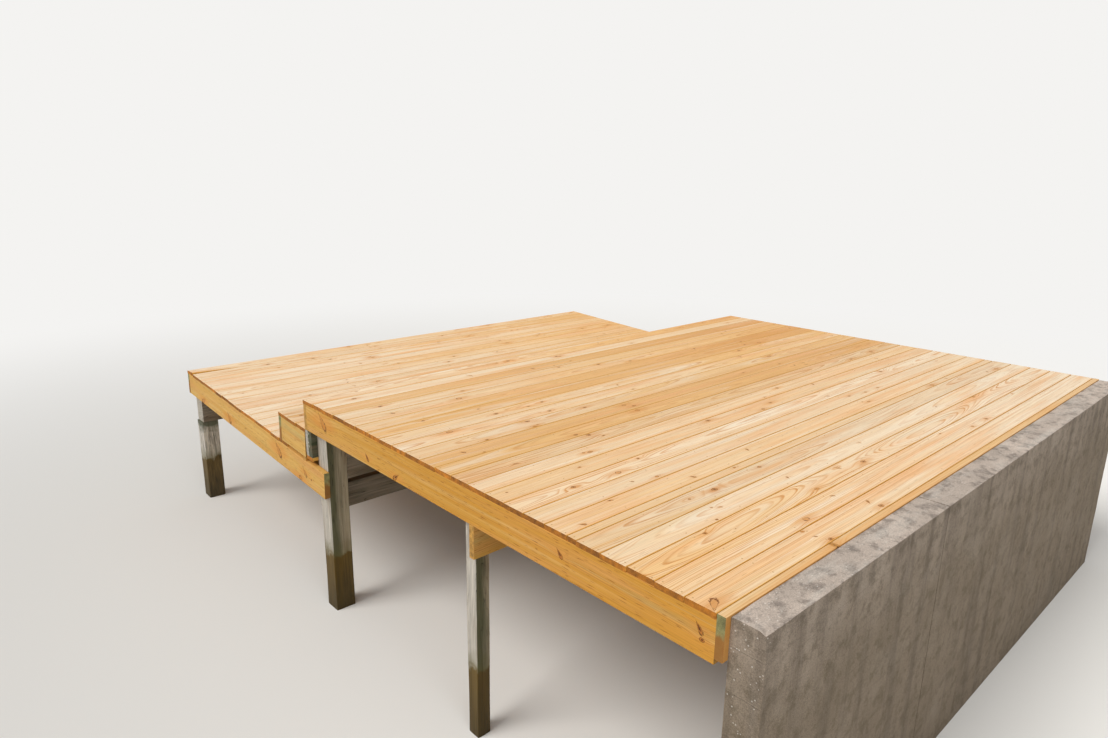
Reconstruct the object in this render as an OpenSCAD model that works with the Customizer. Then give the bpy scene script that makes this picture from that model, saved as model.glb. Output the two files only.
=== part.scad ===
// Stepped timber jetty: an upper deck behind a concrete sill, one long step,
// and a lower deck that stands on old square posts in the water.
// Inside each module X runs along the deck boards from the left side,
// Y runs from the landward rim out over the water,
// and Z is 0 at the top of the upper deck.

/* [Decking] */
// Length of the deck boards, and so of both decks
deck_l = 4877; // [3000:1:6000]
// Width of a full deck board
board_w = 140; // [90:1:190]
// Thickness of the deck boards
board_t = 25; // [20:1:40]
// Radius of the four rounded long edges of a deck board
board_edge_r = 4; // [1:0.5:8]
// Open joint between two deck boards
board_gap = 3; // [2:0.5:8]
// Width of the one board that was ripped to fit
narrow_board_w = 55; // [40:1:120]
// Full boards on the landward side of the ripped board
land_boards = 5; // [2:1:8]
// Full boards on the water side of the ripped board
water_boards = 18; // [14:1:24]

/* [Framing] */
// Thickness of the joists, rims and fascias
frame_t = 38; // [30:1:60]
// Depth of the joists, rims and fascias
frame_h = 184; // [140:1:240]
// Spacing of the joists, centre to centre
joist_pitch = 406; // [300:1:610]

/* [Step] */
// Deck boards in the tread of the step
tread_boards = 3; // [2:1:5]
// Gap between the tread and the upper deck's water rim
tread_gap = 10; // [3:1:30]
// Height of the rim's lower edge above the tread
tread_drop = 2; // [0:0.5:12]

/* [Lower deck] */
// Length of the lower side fascias
lower_fascia_l = 2720; // [2300:1:3400]
// Rise of the lower deck toward the water, in degrees
lower_rise = 2.76; // [0:0.01:4]
// Length of the lower side fascias landward of the bank posts
fascia_back = 18; // [0:1:60]
// Lift of the outermost board's landward edge, where its left end has twisted off the fascia
twist_lift = 14; // [4:1:30]
// Length of that twisted end
twist_l = 400; // [150:1:700]

/* [Supports] */
// Height of the upper deck's top above the bed
upper_h = 1500; // [1250:1:2200]
// Side of the square posts at the bank and in the water
post_w = 140; // [110:1:200]
// Side of the small posts under the upper deck
mid_post_w = 89; // [75:1:120]
// Distance of the small posts from the landward rim
mid_post_y = 1515; // [900:1:2200]
// Inset of the water posts from the ends of the deck
water_post_side = 20; // [0:1:120]
// Inset of the old beam's ends from the ends of the deck
bank_beam_side = 0; // [0:1:30]
// Thickness of the old beam at the bank
bank_beam_t = 89; // [70:1:140]
// Depth of the old beam at the bank
bank_beam_h = 184; // [140:1:286]
// Thickness of the new cleats under the bank beam
cleat_t = 25; // [19:1:60]
// Depth of the old rails between the bank posts
rail_h = 184; // [140:1:200]
// Depth of the old rails' lower edge under the upper deck
rail_drop = 545; // [480:1:600]
// Depth of the beam under the landward end of the lower deck
land_beam_h = 184; // [140:1:235]
// Length by which that beam passes the inner face of each end post
land_beam_lap = 78; // [40:1:110]
// Depth of the beam on top of the water posts
water_beam_h = 241; // [184:1:300]
// Distance of the water posts from the lower deck's outer edge
water_post_inset = 54; // [20:1:400]

/* [Concrete sill] */
// Thickness of the sill wall
sill_t = 150; // [120:1:300]
// Drop from the deck to the top of the sill
sill_drop = 5; // [2:1:60]
// Distance from the left end of the deck to the sill's end
sill_start = 31; // [0:1:200]
// Distance from the left end of the deck to the joint in the sill
sill_joint_x = 1573; // [800:1:2400]
// Width of that joint
sill_joint_w = 6; // [3:1:12]

/* [Hidden] */

// One board and its joint
board_pitch = board_w + board_gap;
// Height of one frame with its decking, which is also the rise of each step
storey_h = board_t + frame_h;
// First edge of the decking behind the landward rim
first_y = frame_t + board_gap;
// The ripped board and the boards on its water side
ripped_y = first_y + land_boards * board_pitch;
water_side_y = ripped_y + narrow_board_w + board_gap;
// Outer face of the upper deck's water rim
upper_depth = water_side_y + water_boards * board_pitch - board_gap;
// Half of the water side boards are one group
middle_boards = floor(water_boards / 2);

// The bank posts stand behind the bank beam, which lies flush with the rim
bank_beam_y = upper_depth - bank_beam_t;
land_beam_inset = frame_t + post_w - land_beam_lap;
bank_post_y = bank_beam_y - post_w;
// Start of the lower fascias, just landward of the bank posts
lower_y = bank_post_y - fascia_back;
// The tread's landward top edge stands off from the rim's face
step_start = (upper_depth + tread_gap - lower_y + storey_h * sin(lower_rise)) / cos(lower_rise);
// Top of the lower deck at the start of its fascias
lower_z = -storey_h - tread_drop - storey_h * cos(lower_rise) - step_start * sin(lower_rise);
// Step and lower deck, measured along the slope
step_depth = tread_boards * board_pitch - board_gap;
step_front = step_start + step_depth;
// As many boards as it takes to carry the riser
lower_boards = ceil((lower_fascia_l + board_gap - step_front + frame_t) / board_pitch);
boards_start = lower_fascia_l - lower_boards * board_pitch + board_gap;
// The bank beam's ends pass over the lower fascias, whose tops are highest under its outer face
fascia_top = lower_z - board_t / cos(lower_rise) + (upper_depth - lower_y) * tan(lower_rise);
beam_end_h = min(bank_beam_h, -storey_h - fascia_top - 1);
// The end cleats reach the deck's sides where they clear the lower fascias
cleat_side = storey_h + bank_beam_h + cleat_t < -fascia_top ? bank_beam_side : frame_t;
// The header clears the cleats under the bank beam
header_y = (upper_depth + board_gap - lower_y) / cos(lower_rise);
land_group = floor(lower_boards / 2);
// Beam tops are cut to this plane, the underside of the lower frame
water_post_y = lower_y + lower_fascia_l * cos(lower_rise) - water_post_inset - post_w;
land_beam_top = lower_z - storey_h + (bank_beam_y - lower_y) * tan(lower_rise);
water_beam_top = lower_z - storey_h + (water_post_y - lower_y) * tan(lower_rise);

// Joists between the two fascias of a deck
joist_count = floor((deck_l - 2 * frame_t) / joist_pitch);
left_joists = ceil(joist_count / 2);
function joist_x(i) = i * joist_pitch - frame_t / 2;
// Left face of post i of three: width w, end posts set in from the ends of the deck
function post_x(i, w, inset) = inset + i * (deck_l - 2 * inset - w) / 2;
// The bank posts stand against the inner faces of the lower fascias
function bank_post_x(i) = post_x(i, post_w, frame_t);

far_y = lower_y + lower_fascia_l * cos(lower_rise) + storey_h * sin(lower_rise);
middle_y = (far_y - sill_t) / 2;

new_pine = "burlywood";
rim_pine = "sandybrown";
old_timber = "dimgray";
concrete = "silver";

// Stands the whole jetty on Z = 0, centred over the origin
module set_down() {
  translate([-deck_l / 2, -middle_y, upper_h]) children();
}

// Frame of the step and the lower deck: Y along the slope, Z 0 at its top
module lower_frame() {
  translate([0, lower_y, lower_z]) rotate([lower_rise, 0, 0]) children();
}

// Cross section of a deck board: Y is its thickness
module board_section(width) {
  translate([board_edge_r, 0]) square([width - 2 * board_edge_r, board_t]);
  translate([0, board_edge_r]) square([width, board_t - 2 * board_edge_r]);
  for (x = [board_edge_r, width - board_edge_r])
    for (y = [board_edge_r, board_t - board_edge_r])
      translate([x, y]) circle(board_edge_r);
}

// Deck boards along X with their tops at Z 0
module boards(count, start, width = board_w, x0 = 0) {
  for (i = [0:count - 1])
    translate([x0, start + i * (width + board_gap), -board_t])
      rotate([90, 0, 90])
        linear_extrude(deck_l - x0) board_section(width);
}

// Board on edge along X, with its near face at y and its top at z
module long_rail(y, z, height, x0 = 0, x1 = deck_l) {
  translate([x0, y, z - height]) cube([x1 - x0, frame_t, height]);
}

// Board on edge along Y, with its left face at x and its top under the decking
module cross_rail(x, y0, y1, z = -board_t, height = frame_h) {
  translate([x, y0, z - height]) cube([frame_t, y1 - y0, height]);
}

module joists(first, last, y0, y1) {
  for (i = [first:last])
    cross_rail(joist_x(i), y0, y1);
}

// Square post from the bed up to top
module post(x, y, width, top) {
  translate([x, y, -upper_h]) cube([width, width, upper_h + top]);
}

// What lies under the slope of the lower frame
module under_lower_frame() {
  lower_frame()
    translate([-deck_l, -deck_l, -storey_h - 2 * deck_l])
      cube([3 * deck_l, 4 * deck_l, 2 * deck_l]);
}

// Beam along X whose top is planed to the slope it carries
module sloped_beam(y, top, height, x0, x1) {
  intersection() {
    translate([x0, y, top - height])
      cube([x1 - x0, post_w, height + post_w]);
    under_lower_frame();
  }
}

module upper_boards_land() {
  color(new_pine) set_down() boards(land_boards, first_y);
}

module ripped_board() {
  color(new_pine) set_down() boards(1, ripped_y, narrow_board_w);
}

module upper_boards_middle() {
  color(new_pine) set_down() boards(middle_boards, water_side_y);
}

module upper_boards_water() {
  color(new_pine) set_down()
    boards(water_boards - middle_boards, water_side_y + middle_boards * board_pitch);
}

// The landward rim is flush with the deck and bolts to the sill
module upper_land_rim() {
  color(rim_pine) set_down() long_rail(0, 0, frame_h);
}

module upper_water_rim() {
  color(rim_pine) set_down() long_rail(upper_depth - frame_t, -board_t, frame_h);
}

module upper_left_fascia() {
  color(rim_pine) set_down() cross_rail(0, frame_t, upper_depth - frame_t);
}

module upper_right_fascia() {
  color(rim_pine) set_down() cross_rail(deck_l - frame_t, frame_t, upper_depth - frame_t);
}

module upper_joists_left() {
  color(rim_pine) set_down() joists(1, left_joists, frame_t, upper_depth - frame_t);
}

module upper_joists_right() {
  color(rim_pine) set_down()
    joists(left_joists + 1, joist_count, frame_t, upper_depth - frame_t);
}

// Carries the middle of the upper joists, against the small posts
module mid_beam() {
  color(rim_pine) set_down()
    long_rail(mid_post_y - frame_t, -storey_h, frame_h);
}

module mid_post(i) {
  color(old_timber) set_down()
    post(post_x(i, mid_post_w, frame_t), mid_post_y, mid_post_w, -storey_h);
}

// Old beam under the outer ends of the upper joists, as long as the deck
module bank_beam() {
  color(old_timber) set_down() {
    translate([frame_t, bank_beam_y, -storey_h - bank_beam_h])
      cube([deck_l - 2 * frame_t, bank_beam_t, bank_beam_h]);
    translate([bank_beam_side, bank_beam_y, -storey_h - beam_end_h])
      cube([deck_l - 2 * bank_beam_side, bank_beam_t, beam_end_h]);
  }
}

module beam_cleats() {
  color(new_pine) set_down()
    for (i = [0:2])
      translate([post_x(i, post_w, cleat_side), bank_beam_y, -storey_h - bank_beam_h - cleat_t])
        cube([post_w, bank_beam_t, cleat_t]);
}

// Old rails from post to post, flush with the posts' landward faces
module bank_rails() {
  color(old_timber) set_down()
    for (i = [0:1])
      long_rail(bank_post_y, rail_h - rail_drop, rail_h, bank_post_x(i) + post_w, bank_post_x(i + 1));
}

module bank_post(i) {
  color(old_timber) set_down() post(bank_post_x(i), bank_post_y, post_w, -storey_h);
}

module step_tread() {
  color(new_pine) set_down() lower_frame()
    translate([0, 0, storey_h]) boards(tread_boards, step_start);
}

module step_riser() {
  color(rim_pine) set_down() lower_frame() long_rail(step_front - frame_t, frame_h, frame_h);
}

module step_back_rail() {
  color(rim_pine) set_down() lower_frame()
    long_rail(step_start, frame_h, frame_h, frame_t, deck_l - frame_t);
}

// Ripped strip on the joists that brings the back rail to board height
module step_packer() {
  color(new_pine) set_down() lower_frame() long_rail(step_start, 0, board_t);
}

// Board between the riser and the back rail, or past the rail's end
module step_side(x, y0) {
  cross_rail(x, y0, step_front - frame_t, frame_h);
}

module step_left_side() {
  color(rim_pine) set_down() lower_frame() step_side(0, step_start);
}

module step_right_side() {
  color(rim_pine) set_down() lower_frame() step_side(deck_l - frame_t, step_start);
}

module step_blocks() {
  color(rim_pine) set_down() lower_frame()
    for (i = [1:joist_count])
      step_side(joist_x(i), step_start + frame_t);
}

module lower_boards_land() {
  color(new_pine) set_down() lower_frame() boards(land_group, boards_start);
}

module lower_boards_water() {
  color(new_pine) set_down() lower_frame()
    boards(lower_boards - land_group - 1, boards_start + land_group * board_pitch);
}

// Its left end twists about its outer lower edge, so the landward edge lifts
module lower_edge_board() {
  color(new_pine) set_down() lower_frame() {
    boards(1, lower_fascia_l - board_w, board_w, twist_l);
    translate([twist_l, lower_fascia_l, -board_t])
      rotate([90, 0, -90])
        linear_extrude(twist_l, twist = -asin(twist_lift / board_w), slices = 8)
          board_section(board_w);
  }
}

module lower_header() {
  color(rim_pine) set_down() lower_frame()
    long_rail(header_y, -board_t, frame_h, frame_t, deck_l - frame_t);
}

module lower_water_rim() {
  color(rim_pine) set_down() lower_frame()
    long_rail(lower_fascia_l - frame_t, -board_t, frame_h);
}

module lower_left_fascia() {
  color(rim_pine) set_down() lower_frame() cross_rail(0, 0, lower_fascia_l - frame_t);
}

module lower_right_fascia() {
  color(rim_pine) set_down() lower_frame()
    cross_rail(deck_l - frame_t, 0, lower_fascia_l - frame_t);
}

module lower_joists() {
  color(rim_pine) set_down() lower_frame()
    joists(1, joist_count, header_y + frame_t, lower_fascia_l - frame_t);
}

module lower_land_beam() {
  color(old_timber) set_down()
    sloped_beam(bank_beam_y, land_beam_top, land_beam_h, land_beam_inset, deck_l - land_beam_inset);
}

module lower_water_beam() {
  color(old_timber) set_down()
    sloped_beam(water_post_y, water_beam_top, water_beam_h, 0, deck_l);
}

module water_post(i) {
  color(old_timber) set_down()
    post(post_x(i, post_w, water_post_side), water_post_y, post_w, water_beam_top - water_beam_h);
}

module sill(x0, x1) {
  color(concrete) set_down()
    translate([x0, -sill_t, -upper_h])
      cube([x1 - x0, sill_t, upper_h - sill_drop]);
}

upper_boards_land();
ripped_board();
upper_boards_middle();
upper_boards_water();
upper_land_rim();
upper_water_rim();
upper_left_fascia();
upper_right_fascia();
upper_joists_left();
upper_joists_right();
mid_beam();
mid_post(0);  // mid_post_left
mid_post(1);  // mid_post_middle
mid_post(2);  // mid_post_right
bank_beam();
beam_cleats();
bank_rails();
bank_post(0);  // bank_post_left
bank_post(1);  // bank_post_middle
bank_post(2);  // bank_post_right
step_tread();
step_riser();
step_back_rail();
step_packer();
step_left_side();
step_right_side();
step_blocks();
lower_boards_land();
lower_boards_water();
lower_edge_board();
lower_header();
lower_water_rim();
lower_left_fascia();
lower_right_fascia();
lower_joists();
lower_land_beam();
lower_water_beam();
water_post(0);  // water_post_left
water_post(1);  // water_post_middle
water_post(2);  // water_post_right
sill(sill_start, sill_joint_x);  // sill_left
sill(sill_joint_x + sill_joint_w, deck_l);  // sill_right
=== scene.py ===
"""Stepped timber jetty: the visual model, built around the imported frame."""

import math
import random
from functools import partial
from types import SimpleNamespace

import bpy
from mathutils import Matrix, Vector, noise


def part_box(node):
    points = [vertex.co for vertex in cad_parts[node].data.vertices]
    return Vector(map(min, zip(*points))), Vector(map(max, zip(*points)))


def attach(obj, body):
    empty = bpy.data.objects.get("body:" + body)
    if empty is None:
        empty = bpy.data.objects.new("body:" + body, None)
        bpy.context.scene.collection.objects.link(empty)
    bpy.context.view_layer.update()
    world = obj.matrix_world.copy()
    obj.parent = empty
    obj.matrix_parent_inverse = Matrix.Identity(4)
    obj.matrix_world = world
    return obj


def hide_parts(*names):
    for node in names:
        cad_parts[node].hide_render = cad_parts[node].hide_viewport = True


bl_info = {
    "name": "Stepped timber jetty",
    "version": (1, 0, 0),
    "blender": (4, 5, 0),
    "location": "View3D > Sidebar > Jetty",
    "description": "Builds the boards, framing, old timbers and sill of a stepped jetty",
    "category": "Add Mesh",
}

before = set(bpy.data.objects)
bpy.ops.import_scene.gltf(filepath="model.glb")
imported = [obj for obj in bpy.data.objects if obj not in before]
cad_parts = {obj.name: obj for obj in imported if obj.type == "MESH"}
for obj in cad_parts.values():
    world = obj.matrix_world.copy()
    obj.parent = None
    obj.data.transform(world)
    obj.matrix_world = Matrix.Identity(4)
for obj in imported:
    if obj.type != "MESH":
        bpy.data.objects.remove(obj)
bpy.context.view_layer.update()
BODY = "root"

# Lesser sizes in metres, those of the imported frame
MID_POST_Y = 1.515
BANK_BEAM_T = 0.089
FASCIA_BACK = 0.018
TREAD_GAP = 0.010
TREAD_DROP = 0.002
RAIL_Z = (-0.545, -0.361)
LAND_BEAM_LAP = 0.078
WATER_POST_IN = 0.054
WATER_POST_SIDE = 0.020
SILL_T = 0.150
SILL_DROP = 0.005
SILL_START = 0.031
SILL_JOINT = (1.573, 1.579)
# The water beam's ends have worn back from the deck's sides
WATER_BEAM_WORN = 0.034
# A deck screw: its distance from the board's edge, and the radii of its head and recess
SCREW_IN = 0.024
SCREW_HEAD_R = 0.0040
SCREW_DRIVE_R = 0.0016
# How deep the old timbers' faces have worn, how far from an arris the sill's chips reach,
# and the length of its broken near corner
WORN_BY = 0.003
CHIP_REACH = 0.035
CORNER_L = 0.060

# The photo's width and its focal length, in pixels
PHOTO_W = 1108
PHOTO_FOCAL = 752.26
# Where the photo was taken from, in metres, and its heading, pitch and roll in degrees
PHOTO_PLACE = (-4.4505, -4.1509, 2.9929)
PHOTO_TURN = (42.494, 14.669, 0.741)

# Attributes that every stick carries for its materials. A knot is its place along and
# across the stick, its size and its turn.
VECTORS = ("log", "spot", "tone", "rim")
KNOTS = ("knot_a", "knot_b", "knot_c", "knot_d", "knot_e", "knot_f")
NO_KNOT = (-9.0, 0.0, 0.0)


def linear(hex_colour):
    """Turn an sRGB hex colour into linear values."""
    raw = [int(hex_colour[i:i + 2], 16) / 255 for i in (1, 3, 5)]
    return tuple(c / 12.92 if c <= 0.04045 else ((c + 0.055) / 1.055) ** 2.4 for c in raw)


def colour_prop(name, description, hex_colour):
    return bpy.props.FloatVectorProperty(
        name=name, description=description, subtype="COLOR", size=3, min=0, max=1,
        default=linear(hex_colour))


def length_prop(name, description, metres):
    return bpy.props.FloatProperty(
        name=name, description=description, unit="LENGTH", subtype="DISTANCE",
        min=0, default=metres)


class JettySizes(bpy.types.PropertyGroup):
    """Sizes of the jetty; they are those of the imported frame."""
    deck_l: length_prop("Board length", "Length of the deck boards", 4.877)
    board_w: length_prop("Board width", "Width of a full deck board", 0.140)
    board_t: length_prop("Board thickness", "Thickness of the deck boards", 0.025)
    board_gap: length_prop("Board joint", "Open joint between two boards", 0.003)
    board_edge_r: length_prop("Board edge radius", "Radius of the boards' long edges", 0.004)
    narrow_w: length_prop("Ripped board", "Width of the board ripped to fit", 0.055)
    frame_t: length_prop("Framing thickness", "Thickness of joists and fascias", 0.038)
    frame_h: length_prop("Framing depth", "Depth of joists and fascias", 0.184)
    joist_pitch: length_prop("Joist spacing", "Centre to centre", 0.406)
    upper_h: length_prop("Deck height", "Upper deck above the bed", 1.500)
    lower_fascia_l: length_prop("Lower fascia", "Length of the lower fascias", 2.720)
    twist_lift: length_prop("Twist", "Lift of the twisted board end", 0.014)
    twist_l: length_prop("Twisted length", "Length of the twisted board end", 0.400)
    post_w: length_prop("Post", "Side of the square posts", 0.140)
    mid_post_w: length_prop("Small post", "Side of the small posts", 0.089)
    water_beam_h: length_prop("Water beam", "Depth of the beam on the water posts", 0.241)
    rise: bpy.props.FloatProperty(
        name="Rise", description="Rise of the lower deck toward the water",
        subtype="ANGLE", default=math.radians(2.76))
    ring_w: length_prop("Growth ring", "Ring width, drawn coarser than the real 4 mm so it shows", 0.008)


class JettyColours(bpy.types.PropertyGroup):
    """Colours of the jetty's finishes."""
    cream: colour_prop("Pale earlywood", "Palest wood of the deck boards", "#fbe5c5")
    honey: colour_prop("Honey earlywood", "Warmer wood of the deck boards", "#f5c584")
    latewood: colour_prop("Latewood", "Dense bands of the growth rings", "#d58f42")
    fascia: colour_prop("Fascia", "Pale wood of the framing", "#e8c070")
    fascia_dark: colour_prop("Fascia grain", "Dense bands in the framing", "#b57628")
    cut_end: colour_prop("Cut end", "Sawn ends of the boards", "#9c5a14")
    old_grey: colour_prop("Weathered grey", "Sunlit side of the old timber", "#c9c1b4")
    old_brown: colour_prop("Wet brown", "Old timber near the water", "#5e4606")
    concrete: colour_prop("Concrete", "Old cast concrete", "#c6b6a8")
    floor: colour_prop("Floor", "Plain studio floor", "#e9e7e3")


# Sizes


def kit():
    """The sizes, and the places that follow from them as in the part's source."""
    s = bpy.context.scene.jetty_sizes
    p = SimpleNamespace(pitch=s.board_w + s.board_gap, storey=s.board_t + s.frame_h)
    p.first_y = s.frame_t + s.board_gap
    p.ripped_y = p.first_y + 5 * p.pitch
    p.water_side_y = p.ripped_y + s.narrow_w + s.board_gap
    p.depth = p.water_side_y + 18 * p.pitch - s.board_gap
    p.beam_y = p.depth - BANK_BEAM_T
    p.bank_y = p.beam_y - s.post_w
    p.lower_y = p.bank_y - FASCIA_BACK
    sin_r, cos_r = math.sin(s.rise), math.cos(s.rise)
    p.slope = sin_r / cos_r
    p.step_y = (p.depth + TREAD_GAP - p.lower_y + p.storey * sin_r) / cos_r
    p.lower_z = -p.storey - TREAD_DROP - p.storey * cos_r - p.step_y * sin_r
    p.step_front = p.step_y + 3 * p.pitch - s.board_gap
    p.boards_y = s.lower_fascia_l - 15 * p.pitch + s.board_gap
    p.header_y = (p.depth + s.board_gap - p.lower_y) / cos_r
    far_y = p.lower_y + s.lower_fascia_l * cos_r
    p.water_y = far_y - WATER_POST_IN - s.post_w
    water_top = p.lower_z - p.storey + (p.water_y - p.lower_y) * p.slope
    p.water_foot = s.upper_h + water_top - s.water_beam_h
    p.joists = [i * s.joist_pitch - s.frame_t / 2 for i in range(1, 12)]
    mid_y = (far_y + p.storey * sin_r - SILL_T) / 2
    p.deck = Matrix.Translation((-s.deck_l / 2, -mid_y, s.upper_h))
    p.lower = (p.deck @ Matrix.Translation((0, p.lower_y, p.lower_z))
               @ Matrix.Rotation(s.rise, 4, "X"))
    p.step = p.lower @ Matrix.Translation((0, 0, p.storey))

    def rows(place, first, count, width=s.board_w):
        return [(place, first + i * p.pitch, width) for i in range(count)]

    # Place, landward edge and width of each deck board, by node
    p.boards = {
        "upper_boards_land": rows(p.deck, p.first_y, 5),
        "ripped_board": rows(p.deck, p.ripped_y, 1, s.narrow_w),
        "upper_boards_middle": rows(p.deck, p.water_side_y, 9),
        "upper_boards_water": rows(p.deck, p.water_side_y + 9 * p.pitch, 9),
        "step_tread": rows(p.step, p.step_y, 3),
        "lower_boards_land": rows(p.lower, p.boards_y, 7),
        "lower_boards_water": rows(p.lower, p.boards_y + 7 * p.pitch, 7),
        "lower_edge_board": rows(p.lower, s.lower_fascia_l - s.board_w, 1),
    }
    return s, p


# Meshes


def piece_of(name, verts, faces, materials):
    """Make one object that rides on the body and takes its finish from the slot."""
    mesh = bpy.data.meshes.new(name)
    mesh.from_pydata([tuple(v) for v in verts], [], faces)
    for material in materials:
        mesh.materials.append(material)
    piece = bpy.data.objects.new(name, mesh)
    bpy.context.scene.collection.objects.link(piece)
    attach(piece, BODY)
    return piece


def check_box(piece, node):
    """Stop if a piece has left the box of the node that it stands for."""
    low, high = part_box(node)
    slack = 0.02
    for i in range(3):
        got = [(piece.matrix_world @ v.co)[i] for v in piece.data.vertices]
        if min(got) < low[i] - slack or max(got) > high[i] + slack:
            raise RuntimeError(f"{piece.name} leaves the box of {node}")


class Pile:
    """Sticks of timber that become one mesh, with the attributes their materials read."""

    def __init__(self):
        self.verts, self.faces, self.slots = [], [], []
        self.data = {k: [] for k in VECTORS + KNOTS}

    def stick(self, axes, lo, hi, place, grain, radius=0.003, step=0.15, turns=3,
              split=(1, 1), wear=None, tone=(1, 0.5, 1), lean=0.0, knots=()):
        """Add one timber whose length, width and thickness run along axes, such as "XYZ".

        Its tone is brightness, warmth and strength of grain, and lean is how much warmer
        the far end is.
        """
        order = ["XYZ".index(a) for a in axes]
        length, width, thick = (hi[i] - lo[i] for i in order)
        ring = rounded(width, thick, radius, turns, split)
        count = max(2, int(round(length / step)) + 1)
        marks = [(*k, 0.0)[:4] for k in (*knots, *[NO_KNOT] * len(KNOTS))]
        flip = order in ([0, 2, 1], [1, 0, 2], [2, 1, 0])

        def put(s, w, t, edge):
            where = Vector((s, w, t))
            if wear:
                where = wear(where, length, width, thick)
            local = [0, 0, 0]
            for i, value in zip(order, where):
                local[i] = lo[i] + value
            self.verts.append(place @ Vector(local))
            values = (grain(s, w - width / 2, t - thick / 2), (s, w, t), tone,
                      (edge, lean * s / length, 0.0), *marks)
            for key, value in zip(VECTORS + KNOTS, values):
                self.data[key].append(value)

        base = len(self.verts)
        n = len(ring)
        for k in range(count):
            for w, t, edge in ring:
                put(length * k / (count - 1), w, t, edge)
        for k in range(count - 1):
            for i in range(n):
                a, b = base + k * n + i, base + k * n + (i + 1) % n
                quad = (a, a + n, b + n, b)
                self.faces.append(quad[::-1] if flip else quad)
                self.slots.append(0)
        for s in (0, length):
            first = len(self.verts)
            for w, t, edge in ring:
                put(s, w, t, 0)
            cap = tuple(range(first, first + n))
            self.faces.append(cap[::-1] if (s == 0) == flip else cap)
            self.slots.append(1)

    def make(self, node, suffix, materials):
        """Turn the pile into the object that stands for a node."""
        piece = piece_of(node + suffix, self.verts, self.faces, materials)
        mesh = piece.data
        for keys, kind, field in ((VECTORS, "FLOAT_VECTOR", "vector"),
                                  (KNOTS, "FLOAT_COLOR", "color")):
            for key in keys:
                layer = mesh.attributes.new(key, kind, "POINT")
                layer.data.foreach_set(field, [c for v in self.data[key] for c in v])
        mesh.polygons.foreach_set("material_index", self.slots)
        mesh.polygons.foreach_set("use_smooth", [True] * len(self.faces))
        mesh.update()
        weigh = piece.modifiers.new("face normals", "WEIGHTED_NORMAL")
        weigh.keep_sharp = True
        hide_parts(node)
        check_box(piece, node)


def rounded(width, thick, radius, turns, split):
    """Cross section with rounded corners: points (w, t, edge), anticlockwise."""
    ring = []
    corners = ((width, 0, -90), (width, thick, 0), (0, thick, 90), (0, 0, 180))
    spans = (split[1], split[0], split[1], split[0])

    def on_arc(corner, turn):
        w, t, start = corner
        angle = math.radians(start + turn)
        # Painted light: the rounding, from its top down to the side, carries the edge colour, which
        # stands in for light bounced inside the joints
        flat = abs(math.sin(angle))
        edge = 1.0
        if flat > 0.99:
            edge = 0.0
        elif flat > 0.8:
            edge = 0.55
        return (abs(w - radius) + radius * math.cos(angle),
                abs(t - radius) + radius * math.sin(angle), edge)

    for k, corner in enumerate(corners):
        ring += [on_arc(corner, 90 * j / turns) for j in range(turns + 1)]
        w, t, edge = ring[-1]
        end_w, end_t, _ = on_arc(corners[(k + 1) % 4], 0)
        for j in range(1, spans[k]):
            f = j / spans[k]
            ring.append((w + (end_w - w) * f, t + (end_t - t) * f, edge))
    return ring


def grown(rng, cut="flat"):
    """Where a stick lay in its log: growth rings run round the log's own middle."""
    shift = rng.uniform(0, 80)
    if cut == "flat":
        off_w, off_t = rng.uniform(-0.025, 0.025), -rng.uniform(0.030, 0.060)
    elif cut == "rift":
        off_w, off_t = rng.choice((-1, 1)) * rng.uniform(0.09, 0.14), -rng.uniform(0.03, 0.06)
    else:
        off_w, off_t = rng.choice((-1, 1)) * rng.uniform(0.14, 0.2), rng.uniform(-0.02, 0.02)
    sway = rng.uniform(0.012, 0.026) if cut == "flat" else rng.uniform(0.002, 0.006)
    turn_w, turn_t = rng.uniform(0, 6.28), rng.uniform(0, 6.28)
    wave = rng.uniform(2.6, 4.5)

    def grain(s, w, t):
        a = 6.28 * s / wave
        return (s + shift, w - off_w - sway * math.sin(a + turn_w),
                t - off_t - sway * math.sin(1.3 * a + turn_t))
    return grain


# Materials


# The setting that holds each kind of node's mode
MODES = {"Math": "operation", "VectorMath": "operation", "MapRange": "interpolation_type",
         "VectorRotate": "rotation_type", "TexNoise": "noise_dimensions",
         "TexWhiteNoise": "noise_dimensions"}


def add_node(tree, kind, inputs=(), **settings):
    """Add a shader node with its settings and what goes into its inputs.

    Its mode may follow its kind. Inputs have names, or come in the sockets' order: a
    range is value, from, from, to, to, and a mix is share, colour, colour.
    """
    kind, _, mode = kind.partition(" ")
    node = tree.nodes.new("ShaderNode" + kind)
    if mode:
        settings[MODES[kind]] = mode
    for key, value in settings.items():
        setattr(node, key, value)
    if not isinstance(inputs, dict):
        inputs = dict(enumerate(inputs))
    for key, value in inputs.items():
        socket = node.inputs[key]
        if isinstance(value, bpy.types.Node):
            value = value.outputs[0]
        if isinstance(value, bpy.types.NodeSocket):
            tree.links.new(value, socket)
            continue
        if isinstance(value, str):
            value = linear(value)
        if socket.type == "RGBA":
            value = (*value[:3], 1.0)
        socket.default_value = value
    return node


def blank(name):
    """A new empty material, and the function that adds its nodes."""
    material = bpy.data.materials.new(name)
    material.use_nodes = True
    material.node_tree.nodes.clear()
    return material, partial(add_node, material.node_tree)


def drawn_out(add, at, scale, detail, rough=0.5):
    """Noise with its own scale along each axis of a place."""
    drawn = add("VectorMath MULTIPLY", (at, scale))
    return add("TexNoise", {"Vector": drawn, "Scale": 1.0, "Detail": detail, "Roughness": rough})


def stained(add, colour, mask, low, high, most, stain, where=None):
    """Stain a colour by up to most as a mask goes from low to high.

    A second mask may say where the stain is at all.
    """
    part = add("MapRange", (mask, low, high, 0, most))
    if where:
        part = add("Math MULTIPLY", (part, where))
    return add("MixRGB", (part, colour, stain))


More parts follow.
